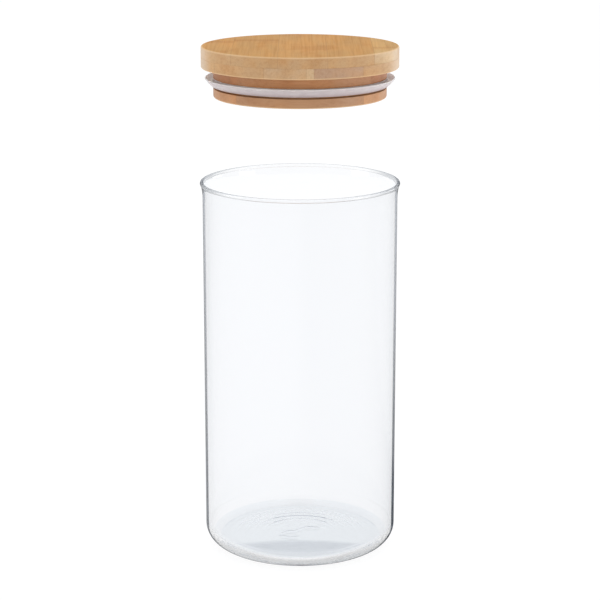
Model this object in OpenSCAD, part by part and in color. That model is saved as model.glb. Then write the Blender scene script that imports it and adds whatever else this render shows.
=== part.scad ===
// Food canister: a round blown-glass storage jar with a plug lid of glued bamboo,
// drawn open, with the lid lifted straight up off the mouth.
// Origin: centre of the jar's foot, on the table. +Z is up. Millimetres.

/* [Glass jar] */
// Outside diameter of the jar's wall
jar_d = 97.4; // [80:0.1:130]
// Height of the jar, from the table to the top of its rim
jar_h = 189; // [120:0.5:300]
// Thickness of the wall
wall_t = 1.5; // [1.2:0.1:3]
// Thickness of the base
base_t = 3; // [2:0.1:6]
// Outside radius of the corner between the wall and the base
corner_r = 10; // [6:0.5:20]
// Inside radius of the same corner
inner_corner_r = 8.5; // [4:0.5:18]

/* [Jar foot and floor] */
// Width of the flat ring that the jar stands on
foot_ring_w = 2.4; // [1:0.1:6]
// Height that the middle of the base is pushed up
punt_h = 1.6; // [0.5:0.1:3]
// Number of raised forming rings on the floor
floor_rings = 4; // [1:1:5]
// Distance from one forming ring to the next
floor_ring_pitch = 5.2; // [1.5:0.1:5.5]
// Section radius of a forming ring
floor_ring_r = 0.4; // [0.2:0.05:0.7]

/* [Jar rim] */
// Thickness of the fire-polished bead round the mouth
bead_d = 2.7; // [2:0.1:4]
// How far the bead stands out past the wall
bead_out = 1.25; // [0.4:0.05:2]
// Height over which the wall flares out into the bead
flare_h = 6.5; // [3:0.5:15]

/* [Bamboo lid] */
// How far the lid's edge stays inside the outer edge of the rim
lid_inset = 1.15; // [0:0.05:4]
// Thickness of one bamboo ply; the lid's disc is two plies
ply_t = 5.3; // [3:0.1:8]
// Radius of the disc's rounded edges
disc_edge_r = 0.8; // [0.3:0.1:2]
// Gap between the plug and the glass all round
plug_gap = 4.4; // [3:0.1:8]
// Height of the neck between the disc and the seal groove
neck_h = 5; // [2:0.1:12]
// Height of the groove that the seal sits in
groove_h = 4.9; // [4.5:0.1:10]
// Depth of that groove
groove_depth = 2.1; // [1:0.1:4]
// Height of the plug below the groove
foot_h = 4.7; // [2:0.1:12]
// Radius of the rounded edge round the plug's underside
foot_edge_r = 1; // [0.3:0.1:2]

/* [Silicone seal] */
// Gap between the seal's lip and the glass, with the lip drawn as pressed in
seal_gap = 0.3; // [0.1:0.05:0.8]
// Height of the band that grips the groove
band_h = 4; // [2:0.1:4.4]
// How far the lip reaches out from the band
lip_reach = 3.6; // [1.5:0.1:5]
// Thickness of the lip
lip_t = 1; // [0.6:0.1:1.4]
// Length of the upright end of the lip
lip_end_h = 0.6; // [0.4:0.1:2]

/* [Open lid] */
// Gap left between the disc and the rim when the lid is down
lid_gap = 0.2; // [0.1:0.05:1]
// Height that the lid is lifted above its closed place
lid_lift = 56.7; // [0:0.1:150]

/* [Hidden] */
$fn = 180;
wide_arc_fn = 1440;
disc_plies = 2;

jar_r = jar_d / 2;
bore_r = jar_r - wall_t;
foot_in_r = jar_r - corner_r - foot_ring_w;
punt_sphere_r = arc_r(foot_in_r, punt_h);
bead_r = bead_d / 2;
rim_r = jar_r + bead_out;
bead_c = rim_r - bead_r;
bead_z = jar_h - bead_r;
flare_z = bead_z - flare_h;
flare_arc_r = arc_r(flare_h, bead_out);
mouth_r = min(bore_r, bead_c - bead_r);

lid_r = rim_r - lid_inset;
disc_t = disc_plies * ply_t;
disc_z = jar_h + lid_gap + lid_lift;
plug_r = mouth_r - plug_gap;
plug_h = neck_h + groove_h + foot_h;
groove_r = plug_r - groove_depth;
groove_top_z = disc_z - neck_h;
plug_z = disc_z - plug_h;

seal_r = mouth_r - seal_gap;
band_r = seal_r - lip_reach;
band_z = groove_top_z - band_h;

// Radius of the arc that rises by rise over half_chord, starting level
function arc_r(half_chord, rise) = (half_chord * half_chord + rise * rise) / (2 * rise);

// Height of the domed floor above base_t at a distance from the axis
function dome_z(r) = sqrt(punt_sphere_r * punt_sphere_r - r * r) - punt_sphere_r + punt_h;

// Half section of a disc with both edges rounded
module rounded_half_section(r, h, edge_r) {
  translate([0, edge_r]) square([r, h - 2 * edge_r]);
  square([r - edge_r, h]);
  for (z = [edge_r, h - edge_r]) translate([r - edge_r, z]) circle(edge_r, $fn = 48);
}

// Half section of the flat ball that forms the punt, its top at punt_h
module punt_section() {
  intersection() {
    translate([0, punt_h - punt_sphere_r]) circle(punt_sphere_r, $fn = wide_arc_fn);
    square([foot_in_r, punt_h]);
  }
}

module jar_outside_section() {
  difference() {
    union() {
      square([jar_r - corner_r, flare_z]);
      translate([0, corner_r]) square([jar_r, flare_z - corner_r]);
      translate([jar_r - corner_r, corner_r]) circle(corner_r, $fn = 96);
    }
    punt_section();
  }
}

// The hollow, with a floor that follows the punt
module jar_inside_section() {
  difference() {
    union() {
      translate([0, base_t]) square([bore_r - inner_corner_r, jar_h]);
      translate([0, base_t + inner_corner_r]) square([bore_r, jar_h]);
      translate([bore_r - inner_corner_r, base_t + inner_corner_r]) circle(inner_corner_r, $fn = 96);
    }
    translate([0, base_t]) punt_section();
    for (i = [0 : floor_rings - 1]) forming_ring_section(foot_in_r - (i + 0.5) * floor_ring_pitch);
  }
}

module forming_ring_section(r) {
  translate([r, base_t + dome_z(r)]) circle(floor_ring_r, $fn = 32);
}

// Wall thickening outwards into the round bead at the mouth
module rim_section() {
  difference() {
    translate([bore_r, flare_z]) square([rim_r - bore_r, flare_h]);
    translate([jar_r + flare_arc_r, flare_z]) circle(flare_arc_r, $fn = wide_arc_fn);
  }
  translate([bead_c, bead_z]) circle(bead_r, $fn = 64);
}

module glass_jar() {
  color([0.80, 0.90, 0.93, 0.4])
    rotate_extrude() {
      difference() {
        jar_outside_section();
        jar_inside_section();
      }
      rim_section();
    }
}

module lid_disc() {
  color([0.80, 0.61, 0.42])
    translate([0, 0, disc_z])
      rotate_extrude() rounded_half_section(lid_r, disc_t, disc_edge_r);
}

module lid_plug() {
  color([0.68, 0.49, 0.34])
    translate([0, 0, plug_z])
      rotate_extrude() {
        rounded_half_section(plug_r, foot_h, foot_edge_r);
        translate([0, foot_h / 2]) square([plug_r, foot_h / 2]);
        translate([0, foot_h]) square([groove_r, groove_h]);
        translate([0, foot_h + groove_h]) square([plug_r, neck_h]);
      }
}

// Band in the groove, with a lip that curves out and up to press on the glass
module seal_ring() {
  color([0.88, 0.88, 0.92])
    translate([0, 0, band_z])
      rotate_extrude() {
        translate([groove_r, 0]) square([band_r - groove_r, band_h]);
        translate([band_r, lip_reach]) {
          intersection() {
            difference() {
              circle(lip_reach, $fn = 96);
              circle(lip_reach - lip_t, $fn = 96);
            }
            translate([0, -lip_reach]) square(lip_reach);
          }
          translate([lip_reach - lip_t, 0]) square([lip_t, lip_end_h - lip_t / 2]);
          translate([lip_reach - lip_t / 2, lip_end_h - lip_t / 2]) circle(lip_t / 2, $fn = 32);
        }
      }
}

glass_jar();
lid_disc();
lid_plug();
seal_ring();
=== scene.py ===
import math
import bpy
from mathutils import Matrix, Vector


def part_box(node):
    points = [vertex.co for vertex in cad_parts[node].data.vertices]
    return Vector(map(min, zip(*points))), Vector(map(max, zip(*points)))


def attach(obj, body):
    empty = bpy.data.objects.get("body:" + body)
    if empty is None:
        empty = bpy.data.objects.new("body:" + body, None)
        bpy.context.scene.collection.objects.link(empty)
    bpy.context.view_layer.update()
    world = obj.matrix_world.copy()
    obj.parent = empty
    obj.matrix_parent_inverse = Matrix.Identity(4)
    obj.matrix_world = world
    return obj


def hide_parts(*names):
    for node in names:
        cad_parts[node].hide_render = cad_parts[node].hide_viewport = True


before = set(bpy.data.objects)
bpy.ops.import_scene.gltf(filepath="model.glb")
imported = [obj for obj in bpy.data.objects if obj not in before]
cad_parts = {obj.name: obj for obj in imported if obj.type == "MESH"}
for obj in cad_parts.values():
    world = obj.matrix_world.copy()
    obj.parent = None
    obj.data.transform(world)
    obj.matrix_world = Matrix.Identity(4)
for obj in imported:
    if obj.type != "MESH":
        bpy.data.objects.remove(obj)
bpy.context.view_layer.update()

# ---- Glass jar -------------------------------------------------------------------------------
# One gather of clear borosilicate glass, blown and spun in a mould, then cut to height. The cut
# edge is softened in a flame, so it flares out a little and draws up into a round bead.
MM = 0.001
_, jar_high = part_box("glass_jar")
rim_r = jar_high.x
jar_h = jar_high.z
rim_overhang = 1.25 * MM
bead_r = 0.98 * MM
flare_h = 6.5 * MM
flare_out = 0.8 * MM
wall_t = 1.5 * MM
base_t = 3.0 * MM
heel_r = 10.0 * MM
inner_heel_r = 8.5 * MM
foot_ring_w = 2.4 * MM
punt_h = 1.6 * MM
ring_count = 4
ring_pitch = 5.2 * MM
ring_h = 0.11 * MM
ring_w = 0.95 * MM
ringed_r = 37.0 * MM
curl_h = 0.085 * MM
curl_w = 0.7 * MM
curled_r = 14.0 * MM
jar_turns = 288

wall_r = rim_r - rim_overhang
bore_r = wall_r - wall_t
bead_c = rim_r - bead_r
bead_z = jar_h - bead_r
flare_top = bead_z - 0.8 * bead_r
flare_start = flare_top - flare_h
foot_in_r = wall_r - heel_r - foot_ring_w
floor_r = bore_r - inner_heel_r


def arc(cx, cz, r, start, end, steps):
    """Points of an arc about (cx, cz), in degrees, both ends included."""
    turn = [math.radians(start + (end - start) * i / steps) for i in range(steps + 1)]
    return [(cx + r * math.cos(a), cz + r * math.sin(a)) for a in turn]


def line(start, end, steps):
    """Points from start up to but not including end."""
    return [tuple(s + (e - s) * i / steps for s, e in zip(start, end)) for i in range(steps)]


def spun(name, outline, turns):
    """A mesh object: an outline of (radius, height) points spun about the jar's axis, with its
    inside on the left hand. It is a closed loop, or starts and ends on the axis."""
    verts, rings = [], []
    for r, z in outline:
        count = 1 if r < 1e-7 else turns
        rings.append(list(range(len(verts), len(verts) + count)))
        verts += [(r * math.cos(math.tau * k / count), r * math.sin(math.tau * k / count), z)
                  for k in range(count)]
    is_loop = len(rings[0]) > 1
    following = rings[1:] + rings[:1] if is_loop else rings[1:]
    faces = []
    for lower, upper in zip(rings, following):
        for k in range(turns):
            n = (k + 1) % turns
            corners = [lower[k % len(lower)], lower[n % len(lower)],
                       upper[n % len(upper)], upper[k % len(upper)]]
            faces.append(tuple(dict.fromkeys(corners)))
    mesh = bpy.data.meshes.new(name)
    mesh.from_pydata(verts, [], faces)
    mesh.polygons.foreach_set("use_smooth", [True] * len(mesh.polygons))
    mesh.update()
    piece = bpy.data.objects.new(name, mesh)
    bpy.context.scene.collection.objects.link(piece)
    return piece


def punt(r):
    """Height of the pushed-up base over the foot ring, at distance r from the axis."""
    return punt_h * max(0.0, 1 - (r / foot_in_r) ** 2)


def forming_rings(x, y):
    """Rings that the spinning mould leaves in the floor. They fade out towards the front."""
    kept = max(0.0, min(1.0, (y + 4 * MM) / (16 * MM)))
    rings = [foot_in_r - (i + 0.5) * ring_pitch for i in range(ring_count)]
    return kept * sum(ring_h * math.exp(-((math.hypot(x, y) - ring) / ring_w) ** 2)
                      for ring in rings)


shear_curl = [(9.5, 3.6), (5.5, 4.6), (2.0, 3.8), (-0.5, 1.0), (-3.5, -1.5), (-7.5, -2.2),
              (-10.5, -4.5), (-9.5, -8.0), (-5.5, -9.8), (-1.5, -9.4)]


def shear_mark(x, y):
    """Height of the curl left in the middle of the floor where the hot glass was cut off."""
    spot = Vector((x, y)) / MM
    nearest = 99.0
    for start, end in zip(shear_curl, shear_curl[1:]):
        start, end = Vector(start), Vector(end)
        along = max(0.0, min(1.0, (spot - start).dot(end - start) / (end - start).length_squared))
        nearest = min(nearest, (spot - start - along * (end - start)).length)
    return curl_h * math.exp(-(nearest * MM / curl_w) ** 2)


def mouth_flare(height):
    """How far the wall leans out at that height."""
    share = max(0.0, (height - flare_start) / flare_h)
    return flare_out * share ** 2


def jar_outline():
    """Half section of the jar, from the middle of its underside round the rim to the middle of
    its floor. The floor's points are closest where the rings and the curl are."""
    underside = [(foot_in_r * i / 24, punt(foot_in_r * i / 24)) for i in range(25)]
    heel = arc(wall_r - heel_r, heel_r, heel_r, -90, 0, 28)
    wall = line((wall_r, heel_r), (wall_r, flare_start), 12)[1:]
    flare_z = [flare_top - flare_h * (1 - i / 12) for i in range(13)]
    flare = [(wall_r + mouth_flare(z), z) for z in flare_z]
    bead = arc(bead_c, bead_z, bead_r, -50, 215, 30)
    inner_flare = [(bore_r + mouth_flare(z), z) for z in reversed(flare_z)]
    bore = line((bore_r, flare_start), (bore_r, base_t + inner_heel_r), 12)[1:]
    inner_heel = arc(floor_r, base_t + inner_heel_r, inner_heel_r, 0, -90, 28)
    stops = (floor_r, ringed_r, 15.0 * MM, 0.0)
    floor = [start + (end - start) * i / steps for start, end, steps in
             zip(stops, stops[1:], (5, 110, 45)) for i in range(1, steps + 1)]
    floor = [(r, base_t + punt(r)) for r in floor]
    return underside + heel + wall + flare + bead + inner_flare + bore + inner_heel + floor


def new_material(name):
    """A material, its node tree and its one shader."""
    material = bpy.data.materials.new(name)
    material.use_nodes = True
    return material, material.node_tree, material.node_tree.nodes["Principled BSDF"]


def feed(tree, socket, value):
    """Set a socket, or link it where the value is another node's output."""
    if isinstance(value, bpy.types.NodeSocket):
        tree.links.new(value, socket)
    else:
        socket.default_value = value


def add_node(tree, kind, **values):
    """A node with its inputs fed by name, or by number as i0, i1 and so on."""
    made = tree.nodes.new(kind)
    for key, value in values.items():
        which = int(key[1:]) if key[1:].isdigit() else key.replace("_", " ")
        feed(tree, made.inputs[which], value)
    return made


def maths(tree, operation, *values):
    """The result of one sum."""
    made = add_node(tree, "ShaderNodeMath", **{"i%d" % i: v for i, v in enumerate(values)})
    made.operation = operation
    return made.outputs[0]


def blended(tree, how_much, first, second, blend="MIX"):
    """Two colours mixed by a share from 0 to 1."""
    made = tree.nodes.new("ShaderNodeMix")
    made.data_type = "RGBA"
    made.blend_type = blend
    for which, value in ((0, how_much), (6, first), (7, second)):
        feed(tree, made.inputs[which], value)
    return made.outputs[2]


def share_between(tree, value, low, high):
    """0 at low, 1 at high, smooth between; low may be the greater."""
    made = add_node(tree, "ShaderNodeMapRange", Value=value, From_Min=low, From_Max=high)
    made.interpolation_type = "SMOOTHSTEP"
    return made.outputs["Result"]


def clear_glass(name, see_through, edge_shade_from, edge_shade_to, painted_edge_shades, painted_heel_shade=None):
    """Clear glass. Where a wall is seen edge on its colour is painted slate grey: painted shade for the
    dark lines at its edges. The painted shades go by height, in mm, and a softer painted grey
    shades the lower corner on top of that."""
    glass, tree, shader = new_material(name)
    shader.inputs["Transmission Weight"].default_value = 1.0
    shader.inputs["IOR"].default_value = 1.47
    shader.inputs["Roughness"].default_value = 0.0
    place = tree.nodes.new("ShaderNodeTexCoord").outputs["Object"]
    height = add_node(tree, "ShaderNodeSeparateXYZ", i0=place).outputs["Z"]
    edge_on = add_node(tree, "ShaderNodeLayerWeight", Blend=0.5).outputs["Facing"]

    colour = see_through
    # Painted shade: low on the wall, where it turns under and is seen edge on, it is painted grey.
    if painted_heel_shade:
        low_down = share_between(tree, height, heel_r, 0.6 * heel_r)
        heel_shade_share = maths(tree, "MULTIPLY", low_down, share_between(tree, edge_on, 0.20, 0.36))
        colour = blended(tree, heel_shade_share, see_through, painted_heel_shade)
    # Painted shade: where a wall is seen edge on, its colour goes to a slate grey set by height.
    painted_shade_by_height = painted_edge_shades[0][1]
    for (low, _), (high, tone) in zip(painted_edge_shades, painted_edge_shades[1:]):
        painted_shade_by_height = blended(tree, share_between(tree, height, low * MM, high * MM), painted_shade_by_height, tone)
    colour = blended(tree, share_between(tree, edge_on, edge_shade_from, edge_shade_to), colour, painted_shade_by_height)
    tree.links.new(colour, shader.inputs["Base Color"])

    waves = add_node(tree, "ShaderNodeTexNoise", Vector=place, Scale=55, Detail=2)
    ripple = add_node(tree, "ShaderNodeBump", Height=waves.outputs["Fac"], Strength=0.06,
                      Distance=0.1 * MM)
    tree.links.new(ripple.outputs["Normal"], shader.inputs["Normal"])
    return glass


clear = (0.965, 0.970, 0.980, 1)
# Painted edge shades: the palest for the bore, and for the outer wall a list by height in mm, darkest low
# on the wall.
palest_painted_shade = (0.90, 0.92, 0.95, 1)
darkest_painted_shade = (0.010, 0.014, 0.022, 1)
wall_painted_edge_shades = [(0.6, (0.72, 0.74, 0.74, 1)), (1.5, (0.27, 0.29, 0.30, 1)), (6.0, darkest_painted_shade),
                   (40.0, darkest_painted_shade), (205.0, (0.36, 0.39, 0.45, 1))]

jar = spun("glass_body", jar_outline(), jar_turns)
for vertex in jar.data.vertices:
    x, y, z = vertex.co
    off_axis = math.hypot(x, y)
    on_floor = base_t - 0.01 * MM < z < base_t + 2 * punt_h
    if on_floor and off_axis < ringed_r:
        vertex.co.z += forming_rings(x, y) + (shear_mark(x, y) if off_axis < curled_r else 0)
# Each skin of the jar is painted greyer where it is seen edge on: painted shade.
for glass in (clear_glass("clear_glass", clear, 0.60, 0.95, [(0, palest_painted_shade)]),
              clear_glass("edge_glass", clear, 0.765, 0.80, wall_painted_edge_shades,
                          # painted grey shade on the lower corner
                          painted_heel_shade=(0.58, 0.58, 0.58, 1)),
              # Base: its darker, bluer colour is partly the thick glass's own tint and partly painted
              # shadow of the table under the jar, and it is painted grey-blue where seen edge on.
              clear_glass("base_glass", (0.865, 0.90, 0.93, 1), 0.85, 0.98,
                          [(0, (0.70, 0.75, 0.78, 1))]),
              # Rim bead: painted grey shade, strongest where it is seen edge on, to draw the rim's lines.
              clear_glass("rim_glass", clear, 0.28, 0.58, [(0, (0.46, 0.48, 0.50, 1))])):
    jar.data.materials.append(glass)
bore_skin, outer_skin, base_skin, rim_skin = range(4)
for face in jar.data.polygons:
    outward = face.normal.x * face.center.x + face.normal.y * face.center.y > 0
    if face.center.z > flare_top:
        face.material_index = rim_skin
    elif outward and face.normal.z < 0.5 and face.center.z > 0.5 * MM:
        face.material_index = outer_skin
    elif face.center.z < base_t + 0.3 * inner_heel_r:
        face.material_index = base_skin
    else:
        face.material_index = bore_skin
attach(jar, "jar")
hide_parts("glass_jar")

# ---- Lid disc --------------------------------------------------------------------------------
# Two plies of bamboo strips, glued flat, one on the other, then turned round. The edges are
# sanded round and the whole lid is oiled. Strips run from front to back in both plies.
disc_low, disc_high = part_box("lid_disc")
lid_r = disc_high.x
glue_z = (disc_low.z + disc_high.z) / 2
disc_edge_r = 0.8 * MM
glue_crease = 0.04 * MM
lid_turns = 288


def bamboo(name, seams, tones, knuckles, seed, grain="Y", rounded=None,
           stain=(1.0, 1.08, 1.30, 1), gloss=0.5):
    """Oiled bamboo. Strips meet at the seams (mm across the grain), each with its own tone and
    knuckle (mm along it). A ply's ends show the fibres as dots and its sides as streaks.
    rounded is the radius and height of its rounded edge, painted paler: partly handling wear, partly a
    painted highlight."""
    wood, tree, shader = new_material(name)
    deep_brown = (0.30, 0.15, 0.06, 1)
    place = tree.nodes.new("ShaderNodeTexCoord").outputs["Object"]
    place = add_node(tree, "ShaderNodeSeparateXYZ", i0=place)
    x, y, z = (maths(tree, "MULTIPLY", socket, 1 / MM) for socket in place.outputs)
    across, along = (x, y) if grain == "Y" else (y, x)
    facing = tree.nodes.new("ShaderNodeNewGeometry").outputs["Normal"]
    facing = add_node(tree, "ShaderNodeSeparateXYZ", i0=facing)
    end_grain = maths(tree, "ABSOLUTE", facing.outputs[1 if grain == "Y" else 0])
    end_grain = share_between(tree, end_grain, 0.35, 0.95)

    def cells(wide, long, offset):
        """Places counted in cells of wide by long millimetres."""
        return add_node(tree, "ShaderNodeCombineXYZ",
                        i0=maths(tree, "MULTIPLY_ADD", across, 1 / wide, seed + offset),
                        i1=maths(tree, "MULTIPLY", along, 1 / long),
                        i2=maths(tree, "MULTIPLY", z, 1 / wide)).outputs[0]

    def fibres(wide, long, detail, offset=0.0):
        """Noise in such cells."""
        return add_node(tree, "ShaderNodeTexNoise", Vector=cells(wide, long, offset), Scale=1.0,
                        Detail=detail).outputs["Fac"]

    def toned(how_much, colour, by):
        """A colour multiplied by another, by a share from 0 to 1."""
        return blended(tree, how_much, colour, by, "MULTIPLY")

    strip_no = maths(tree, "MULTIPLY", across, 0.0)
    for seam in seams:
        strip_no = maths(tree, "ADD", strip_no, maths(tree, "GREATER_THAN", across, seam))

    def by_strip(values):
        """One colour for each strip."""
        pick = tree.nodes.new("ShaderNodeValToRGB")
        pick.color_ramp.interpolation = "CONSTANT"
        for i, value in enumerate(values):
            stop = pick.color_ramp.elements[i] if i < 2 else pick.color_ramp.elements.new(1.0)
            stop.position = max(0.0, (i - 0.5) / len(values))
            stop.color = value
        tree.links.new(maths(tree, "DIVIDE", strip_no, len(values)), pick.inputs["Fac"])
        return pick.outputs["Color"]

    # Slow change of tone along each strip, then streaks and fine fibres.
    colour = toned(1.0, by_strip(tones), stain)
    cloud = fibres(9.0, 45.0, 2.0)
    colour = toned(share_between(tree, cloud, 0.35, 0.75), colour, (1.10, 1.02, 0.88, 1))
    patch = fibres(14.0, 26.0, 3.0, 51.0)
    colour = toned(share_between(tree, patch, 0.50, 0.72), colour, (0.92, 0.85, 0.74, 1))
    streak = fibres(1.1, 70.0, 4.0, 11.0)
    colour = toned(share_between(tree, streak, 0.40, 0.75), colour, (0.91, 0.86, 0.80, 1))
    thread = fibres(0.32, 22.0, 3.0, 23.0)
    colour = toned(share_between(tree, thread, 0.45, 0.72), colour, (0.92, 0.88, 0.84, 1))

    # Vessel bundles: dark dots on the end grain and thin dashes on the long grain.
    bundle = add_node(tree, "ShaderNodeTexVoronoi", Vector=cells(0.62, 60.0, 37.0), Scale=1.0,
                      Randomness=0.9)
    dots = share_between(tree, bundle.outputs["Distance"], 0.30, 0.12)
    strength = maths(tree, "MULTIPLY_ADD", end_grain, 0.14, 0.14)
    colour = blended(tree, maths(tree, "MULTIPLY", dots, strength), colour, deep_brown)
    colour = toned(maths(tree, "MULTIPLY", end_grain, 0.8), colour, (0.94, 0.96, 1.12, 1))

    # Where the turned edge runs along the grain it is painted paler: a painted sheen.
    upright = share_between(tree, maths(tree, "ABSOLUTE", facing.outputs[2]), 0.7, 0.3)
    along_edge = share_between(tree, maths(tree, "ABSOLUTE", across), 42.0, 48.0)
    painted_sheen = maths(tree, "MULTIPLY", upright, maths(tree, "MULTIPLY", along_edge, 0.6))
    colour = blended(tree, painted_sheen, colour, (0.66, 0.52, 0.38, 1))

    # The knuckle of each strip, where the cane had a joint, with its place held as a grey.
    reach = 100.0
    places = by_strip([(at / (2 * reach) + 0.5,) * 3 + (1,) for at in knuckles])
    places = add_node(tree, "ShaderNodeSeparateColor", i0=places).outputs[0]
    knuckle_at = maths(tree, "MULTIPLY_ADD", places, 2 * reach, -reach)
    bend = maths(tree, "MULTIPLY", cloud, 7.0)
    away = maths(tree, "ADD", maths(tree, "SUBTRACT", along, knuckle_at), bend)
    away = maths(tree, "ABSOLUTE", away)
    halo = maths(tree, "MULTIPLY", share_between(tree, away, 7.0, 1.0), 0.5)
    colour = toned(halo, colour, (0.88, 0.72, 0.54, 1))
    ring = maths(tree, "MULTIPLY", share_between(tree, away, 1.5, 0.3), 0.2)
    colour = blended(tree, ring, colour, deep_brown)

    # Glue seams between strips.
    for seam in seams:
        gap = maths(tree, "ABSOLUTE", maths(tree, "SUBTRACT", across, seam))
        glue = maths(tree, "MULTIPLY", share_between(tree, gap, 0.20, 0.06), 0.3)
        colour = blended(tree, glue, colour, deep_brown)

    # The rounded edge is painted paler and golden: partly handling wear, partly a painted highlight where
    # it catches the light.
    if rounded:
        r_squared = maths(tree, "MULTIPLY_ADD", x, x, maths(tree, "MULTIPLY", y, y))
        r = maths(tree, "SQRT", r_squared)
        off_r = maths(tree, "ABSOLUTE", maths(tree, "SUBTRACT", r, rounded[0] / MM - 0.2))
        off_z = maths(tree, "ABSOLUTE", maths(tree, "SUBTRACT", z, rounded[1] / MM))
        near_r, near_z = (share_between(tree, off, 0.9, 0.3) for off in (off_r, off_z))
        wear_and_highlight = maths(tree, "MULTIPLY", near_r, near_z)
        colour = blended(tree, maths(tree, "MULTIPLY", wear_and_highlight, 0.5), colour, (0.80, 0.54, 0.29, 1))
    tree.links.new(colour, shader.inputs["Base Color"])

    # Oil soaks into the end grain, which stays duller than the long grain.
    rough = maths(tree, "MULTIPLY_ADD", end_grain, 0.12, 0.40)
    rough = maths(tree, "MULTIPLY_ADD", streak, 0.12, rough)
    tree.links.new(rough, shader.inputs["Roughness"])
    shader.inputs["Specular IOR Level"].default_value = gloss
    relief = maths(tree, "MULTIPLY_ADD", dots, -0.6, maths(tree, "MULTIPLY_ADD", thread, 0.6, streak))
    skin = add_node(tree, "ShaderNodeBump", Height=relief, Strength=0.35, Distance=0.06 * MM)
    tree.links.new(skin.outputs["Normal"], shader.inputs["Normal"])
    return wood


cream = (0.59, 0.375, 0.165, 1)
pale_tan = (0.56, 0.335, 0.140, 1)
golden_tan = (0.55, 0.305, 0.110, 1)
amber = (0.54, 0.298, 0.104, 1)
orange_brown = (0.52, 0.285, 0.105, 1)
rose_brown = (0.48, 0.268, 0.118, 1)

upper_ply = spun("disc_upper_ply",
                 [(0, glue_z)]
                 + line((lid_r * 0.5, glue_z), (lid_r - glue_crease, glue_z), 24)
                 + [(lid_r - glue_crease, glue_z), (lid_r, glue_z + glue_crease)]
                 + line((lid_r, glue_z + glue_crease), (lid_r, disc_high.z - disc_edge_r), 8)[1:]
                 + arc(lid_r - disc_edge_r, disc_high.z - disc_edge_r, disc_edge_r, 0, 90, 10)
                 + line((lid_r - disc_edge_r, disc_high.z), (0, disc_high.z), 60)[1:]
                 + [(0, disc_high.z)], lid_turns)
upper_strips = {"seams": (-33.0, -10.5, 13.0, 35.5),
                "tones": (golden_tan, amber, golden_tan, amber, cream),
                "knuckles": (18.0, 24.0, 90.0, -70.0, -6.0),
                "seed": 3.0,
                "rounded": (lid_r, disc_high.z)}
upper_ply.data.materials.append(bamboo("bamboo_turned_edge", **upper_strips))
upper_ply.data.materials.append(bamboo("bamboo_flat_top", **upper_strips,
                                       stain=(1.04, 1.00, 0.90, 1), gloss=0.02))
for face in upper_ply.data.polygons:
    face.material_index = 1 if face.normal.z > 0.9 else 0
lower_ply = spun("disc_lower_ply",
                 [(0, disc_low.z)]
                 + line((lid_r * 0.02, disc_low.z), (lid_r - disc_edge_r, disc_low.z), 60)
                 + arc(lid_r - disc_edge_r, disc_low.z + disc_edge_r, disc_edge_r, -90, 0, 10)
                 + line((lid_r, disc_low.z + disc_edge_r), (lid_r, glue_z - glue_crease), 8)[1:]
                 + [(lid_r, glue_z - glue_crease), (lid_r - glue_crease, glue_z)]
                 + line((lid_r - glue_crease, glue_z), (0, glue_z), 24)[1:]
                 + [(0, glue_z)], lid_turns)
lower_ply.data.materials.append(bamboo(
    "bamboo_under_ply", (-41.0, -17.1, 3.0, 6.6, 30.0),
    (golden_tan, golden_tan, pale_tan, cream, rose_brown, orange_brown),
    (30.0, -80.0, -20.0, 90.0, 25.0, 80.0), 8.0, rounded=(lid_r, disc_low.z)))
for ply in (upper_ply, lower_ply):
    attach(ply, "lid")
    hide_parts("lid_disc")

# ---- Lid plug --------------------------------------------------------------------------------
# Three more plies of darker bamboo, glued under the disc and turned with it: the neck, the core
# that the seal sits round, and the foot. The core's strips run as the disc's do, and the strips
# of the other two lie across them.
plug_low, plug_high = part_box("lid_plug")
plug_r = plug_high.x
neck_h = 5.0 * MM
groove_h = 4.9 * MM
groove_r = plug_r - 2.1 * MM
foot_edge_r = 1.0 * MM
corner_wear = 0.25 * MM
groove_top = plug_high.z - neck_h
foot_top = groove_top - groove_h
caramel = (0.62, 0.33, 0.135, 1)
toffee = (0.55, 0.27, 0.105, 1)
honey = (0.50, 0.27, 0.12, 1)

neck = spun("plug_neck_ply",
            [(0, groove_top)]
            + line((groove_r * 0.5, groove_top), (plug_r - corner_wear, groove_top), 16)
            + arc(plug_r - corner_wear, groove_top + corner_wear, corner_wear, -90, 0, 5)
            + line((plug_r, groove_top + corner_wear), (plug_r, plug_high.z), 10)[1:]
            + line((plug_r, plug_high.z), (0, plug_high.z), 16)
            + [(0, plug_high.z)], lid_turns)
neck.data.materials.append(bamboo("bamboo_neck", (-26.0, -3.0, 21.0), (caramel, toffee, caramel, toffee),
                                  (-30.0, 12.0, 60.0, -55.0), 14.0, "X", stain=(0.84, 0.77, 0.79, 1)))
core = spun("plug_core_ply",
            [(0, foot_top)]
            + line((groove_r * 0.5, foot_top), (groove_r, foot_top), 12)
            + line((groove_r, foot_top), (groove_r, groove_top), 8)
            + line((groove_r, groove_top), (0, groove_top), 16)
            + [(0, groove_top)], lid_turns)
core.data.materials.append(bamboo("bamboo_core", (-15.0, 9.0), (toffee, caramel, toffee),
                                  (20.0, -60.0, 5.0), 19.0))
foot = spun("plug_foot_ply",
            [(0, plug_low.z)]
            + line((groove_r * 0.02, plug_low.z), (plug_r - foot_edge_r, plug_low.z), 56)
            + arc(plug_r - foot_edge_r, plug_low.z + foot_edge_r, foot_edge_r, -90, 0, 10)
            + line((plug_r, plug_low.z + foot_edge_r), (plug_r, foot_top - corner_wear), 8)[1:]
            + arc(plug_r - corner_wear, foot_top - corner_wear, corner_wear, 0, 90, 5)
            + line((plug_r - corner_wear, foot_top), (0, foot_top), 16)[1:]
            + [(0, foot_top)], lid_turns)
foot.data.materials.append(bamboo("bamboo_foot", (-30.0, -8.0, 15.0), (honey, caramel, honey, caramel),
                                  (70.0, -25.0, 35.0, -70.0), 27.0, "X", rounded=(plug_r, plug_low.z),
                                  stain=(0.86, 0.84, 0.92, 1)))
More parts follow.
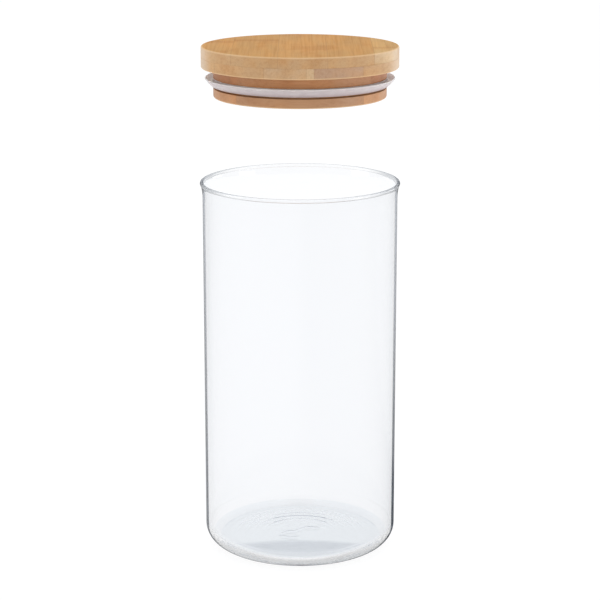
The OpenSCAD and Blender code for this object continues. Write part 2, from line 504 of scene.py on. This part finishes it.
for ply in (neck, core, foot):
    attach(ply, "lid")
    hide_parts("lid_plug")

# ---- Seal ------------------------------------------------------------------------------------
# One ring of milky silicone, moulded, stretched over the foot and let go in the groove. Its lip
# leans out and up.
seal_low, seal_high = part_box("seal_ring")
seal_r = seal_high.x
lip_reach = 3.6 * MM
tip_r = 0.42 * MM
root_r = 0.5 * MM
crook_r = 0.4 * MM
band_h = 4.0 * MM
band_edge_r = 0.2 * MM
band_r = seal_r - lip_reach
band_edge_c = band_r - 0.5 * MM
band_top = seal_low.z + band_h


def milky_silicone():
    """Translucent silicone with the odd fleck of dust. Towards its underside it is painted darker and
    warmer, painted shade in place of the wood that shows through the thick band, and its upward
    faces are painted paler, painted light in place of light that comes through the thin lip."""
    rubber, tree, shader = new_material("milky_silicone")
    place = tree.nodes.new("ShaderNodeTexCoord").outputs["Object"]
    bloom = add_node(tree, "ShaderNodeTexNoise", Vector=place, Scale=260.0, Detail=3.0).outputs["Fac"]
    colour = blended(tree, share_between(tree, bloom, 0.35, 0.7),
                     (0.63, 0.57, 0.58, 1), (0.68, 0.62, 0.63, 1))
    dust = add_node(tree, "ShaderNodeTexNoise", Vector=place, Scale=2600.0, Detail=2.0).outputs["Fac"]
    colour = blended(tree, share_between(tree, dust, 0.68, 0.74), colour, (0.86, 0.82, 0.82, 1))
    # Painted shade: darker and warmer towards the underside, in place of the wood seen through the thick
    # band.
    height = add_node(tree, "ShaderNodeSeparateXYZ", i0=place).outputs[2]
    low_down = share_between(tree, height, seal_low.z + 2.4 * MM, seal_low.z)
    colour = blended(tree, low_down, colour, (0.86, 0.81, 0.81, 1), "MULTIPLY")
    # Painted light: faces turned up are painted paler, in place of light that comes through the thin lip.
    facing = tree.nodes.new("ShaderNodeNewGeometry").outputs["Normal"]
    upward = add_node(tree, "ShaderNodeSeparateXYZ", i0=facing).outputs[2]
    colour = blended(tree, share_between(tree, upward, 0.0, 0.5), colour, (0.93, 0.95, 0.98, 1))
    tree.links.new(colour, shader.inputs["Base Color"])
    rough = maths(tree, "MULTIPLY_ADD", bloom, 0.16, 0.42)
    tree.links.new(rough, shader.inputs["Roughness"])
    shader.inputs["Transmission Weight"].default_value = 0.2
    shader.inputs["Subsurface Weight"].default_value = 1.0
    shader.inputs["Subsurface Radius"].default_value = (1.0, 0.95, 1.0)
    shader.inputs["Subsurface Scale"].default_value = 3.0 * MM
    shader.inputs["IOR"].default_value = 1.41
    shader.inputs["Specular IOR Level"].default_value = 0.15
    skin = add_node(tree, "ShaderNodeBump", Height=dust, Strength=0.15, Distance=0.03 * MM)
    tree.links.new(skin.outputs["Normal"], shader.inputs["Normal"])
    return rubber


def off_root(out, up):
    """A point of the lip, in mm out from the band and up from the seal's underside."""
    return band_r + out * MM, seal_low.z + up * MM


lip_under = [off_root(0.3, 0.28), off_root(1.3, 1.15), off_root(2.3, 2.15)]
lip_over = [off_root(1.6, 2.75), off_root(0.7, 1.95)]
crook_c = off_root(0.1, 2.35)
seal = spun("seal_lip_ring",
            line((groove_r, seal_low.z), (band_r - root_r, seal_low.z), 6)
            + arc(band_r - root_r, seal_low.z + root_r, root_r, -90, -45, 4)
            + lip_under
            + arc(seal_r - tip_r, seal_high.z - tip_r, tip_r, -45, 135, 10)
            + lip_over
            + arc(*crook_c, crook_r, 300, 180, 6)
            + arc(band_edge_c, band_top - band_edge_r, band_edge_r, 0, 90, 4)
            + line((band_edge_c - band_edge_r, band_top), (groove_r, band_top), 4)[1:]
            + line((groove_r, band_top), (groove_r, seal_low.z), 6), lid_turns)
seal.data.materials.append(milky_silicone())
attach(seal, "lid")
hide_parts("seal_ring")

# ---- Table and light -------------------------------------------------------------------------
# A white sweep, lit from above and by its own glow. What the clear glass mirrors is a darker room
# and a grey table, with a pale patch on its left and a dark one on its right, so that its edges
# draw as grey lines. A narrow slate card, high up behind, shows as a soft band in the jar's floor.
scene = bpy.context.scene
scene.view_settings.view_transform = "Standard"
light_bounces = 400
scene.cycles.max_bounces = light_bounces
scene.cycles.glossy_bounces = light_bounces
scene.cycles.transmission_bounces = light_bounces
table_half = 8.0
table_drop = 0.2 * MM
table_glow = 0.93
mirrored_glow = 0.22
pale_patch_glow = 0.16


def mirrored_by_glass(tree):
    """1 for light that reaches the eye by a sharp reflection, 0 for all other light."""
    path = tree.nodes.new("ShaderNodeLightPath")
    return maths(tree, "MULTIPLY", path.outputs["Is Singular Ray"], path.outputs["Is Reflection Ray"])


def seen_by_glass(tree):
    """1 for light that the clear glass mirrors or lets through, 0 for all other light."""
    return tree.nodes.new("ShaderNodeLightPath").outputs["Is Singular Ray"]


mesh = bpy.data.meshes.new("table")
mesh.from_pydata([(-table_half, -table_half, 0), (table_half, -table_half, 0),
                  (table_half, table_half, 0), (-table_half, table_half, 0)], [], [(0, 1, 2, 3)])
table = bpy.data.objects.new("table", mesh)
table.location.z = -table_drop
scene.collection.objects.link(table)
paper, tree, shader = new_material("white_paper")
shader.inputs["Base Color"].default_value = (0.1, 0.1, 0.1, 1)
shader.inputs["Roughness"].default_value = 0.9
shader.inputs["Specular IOR Level"].default_value = 0.1
shader.inputs["Emission Color"].default_value = (1, 1, 1, 1)
spot = tree.nodes.new("ShaderNodeNewGeometry").outputs["Position"]
right, back, _ = add_node(tree, "ShaderNodeSeparateXYZ", i0=spot).outputs
pale_side = share_between(tree, right, 0.0, -0.06)
dark_side = share_between(tree, right, 0.0, 0.06)
pale_patch = maths(tree, "MULTIPLY", pale_side, share_between(tree, back, 0.5, 0.1))
dark_patch = maths(tree, "MULTIPLY", dark_side, share_between(tree, back, 0.13, 0.08))
patchy = maths(tree, "MULTIPLY_ADD", pale_patch, pale_patch_glow, mirrored_glow)
patchy = maths(tree, "MULTIPLY_ADD", dark_patch, -mirrored_glow, patchy)
glow = add_node(tree, "ShaderNodeMapRange", Value=mirrored_by_glass(tree), To_Min=table_glow,
                To_Max=patchy)
tree.links.new(glow.outputs["Result"], shader.inputs["Emission Strength"])
table.data.materials.append(paper)

world = bpy.data.worlds.new("studio")
scene.world = world
world.use_nodes = True
tree = world.node_tree
towards = tree.nodes.new("ShaderNodeTexCoord").outputs["Generated"]
side, away, up = add_node(tree, "ShaderNodeSeparateXYZ", i0=towards).outputs
sky = blended(tree, share_between(tree, up, 0.06, 0.55), (1.03, 1.03, 1.03, 1), (0.62, 0.66, 0.72, 1))
turned = maths(tree, "DIVIDE", maths(tree, "ABSOLUTE", side), maths(tree, "MAXIMUM", away, 0.001))
high_up = share_between(tree, up, 0.418, 0.432)
on_card = maths(tree, "MULTIPLY", share_between(tree, turned, 0.136, 0.118), high_up)
through = blended(tree, share_between(tree, up, 0.40, 0.75), (1.0, 1.0, 1.0, 1), (0.70, 0.75, 0.82, 1))
through = blended(tree, on_card, through, (0.02, 0.06, 0.15, 1))
mirrored = blended(tree, share_between(tree, side, -0.3, 0.3), (0.40, 0.43, 0.48, 1), (0.22, 0.25, 0.30, 1))
sky = blended(tree, seen_by_glass(tree), sky, through)
sky = blended(tree, mirrored_by_glass(tree), sky, mirrored)
tree.links.new(sky, tree.nodes["Background"].inputs["Color"])
tree.nodes["Background"].inputs["Strength"].default_value = 1.0


def soft_box(name, place, target, size, watts):
    """A lamp with a rectangular face turned to its target. Glass mirrors it, but it can't be seen
    through glass."""
    lamp = bpy.data.lights.new(name, "AREA")
    lamp.shape = "RECTANGLE"
    lamp.size, lamp.size_y = size
    lamp.energy = watts
    box = bpy.data.objects.new(name, lamp)
    box.location = place
    box.rotation_euler = (Vector(target) - Vector(place)).to_track_quat("-Z", "Y").to_euler()
    box.visible_transmission = False
    scene.collection.objects.link(box)


soft_box("top_box", (0, 0.15, 1.6), (0, 0, 0.2), (1.6, 1.6), 9)
soft_box("left_box", (-1.0, -0.15, 0.45), (0, 0, 0.24), (0.5, 0.5), 1.5)
soft_box("right_box", (0.95, -0.35, 0.22), (0, 0, 0.24), (0.4, 0.3), 1.7)
soft_box("right_back_box", (0.85, 0.55, 0.3), (0, 0, 0.24), (0.4, 0.4), 1.2)

# ---- Camera ----------------------------------------------------------------------------------
# It looks down a little through a long lens, from about a metre in front, and takes in the jar
# and the lid above it.
camera_distance, camera_height = 0.992, 0.376
camera_pitch, camera_lens = 14.06, 121.14
camera = bpy.data.objects.new("camera", bpy.data.cameras.new("camera"))
camera.location = (0, -camera_distance, camera_height)
camera.rotation_euler = (math.radians(90 - camera_pitch), 0, 0)
camera.data.lens = camera_lens
camera.data.sensor_width = 36
scene.collection.objects.link(camera)
scene.camera = camera
